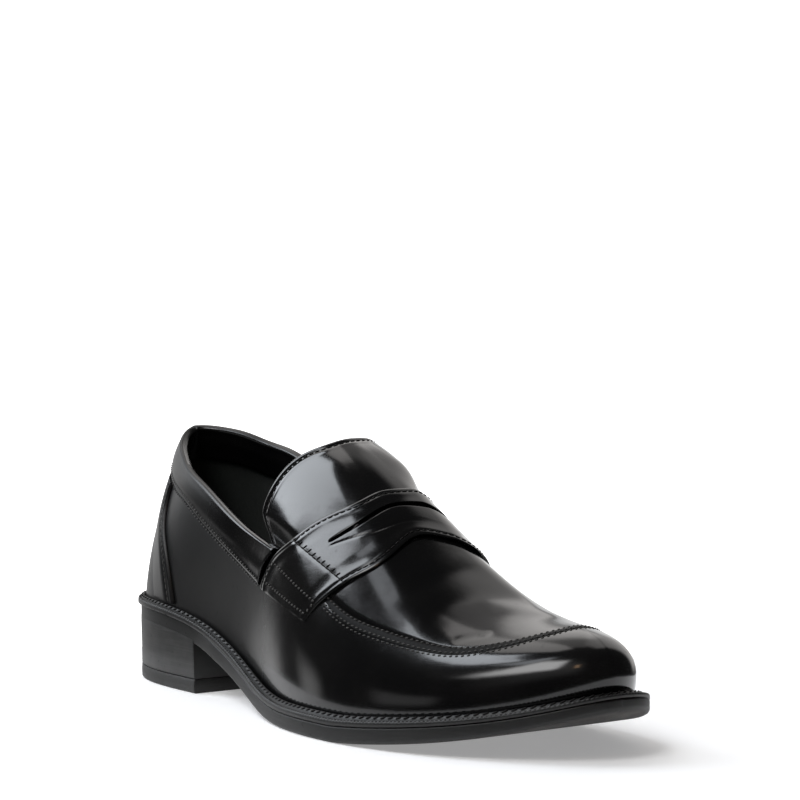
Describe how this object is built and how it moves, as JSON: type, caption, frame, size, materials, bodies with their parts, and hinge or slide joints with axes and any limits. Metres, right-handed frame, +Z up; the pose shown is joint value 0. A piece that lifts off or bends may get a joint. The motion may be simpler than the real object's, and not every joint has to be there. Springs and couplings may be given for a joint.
{
  "type": "penny loafer",
  "caption": "Right-foot penny loafer in polished black leather: apron toe, slotted saddle strap, wide tongue, rolled collar and stacked heel, open for a foot.",
  "frame": {"origin": "middle of the sole's bounding box, on the floor", "axes": "+Z up, toe toward -Y, heel toward +Y, lateral side toward -X, medial side toward +X"},
  "size_m": [0.1018, 0.2976, 0.1098],
  "materials": {
    "sole_leather": "satin edge",
    "heel_stack": "satin, brushed",
    "heel_rubber": "matte",
    "welt_leather": "satin",
    "footbed": "matte",
    "upper_leather": "polished",
    "tongue_leather": "polished",
    "strap_leather": "polished",
    "band_leather": "polished",
    "backstay_leather": "polished"
  },
  "bodies": {
    "root": {"outsole": "sole_leather", "heel_block": "heel_stack", "heel_top_piece": "heel_rubber", "welt": "welt_leather", "insole": "footbed", "upper": "upper_leather", "tongue": "tongue_leather", "saddle_strap": "strap_leather", "collar_band": "band_leather", "backstay": "backstay_leather"}
  },
  "joints": []
}
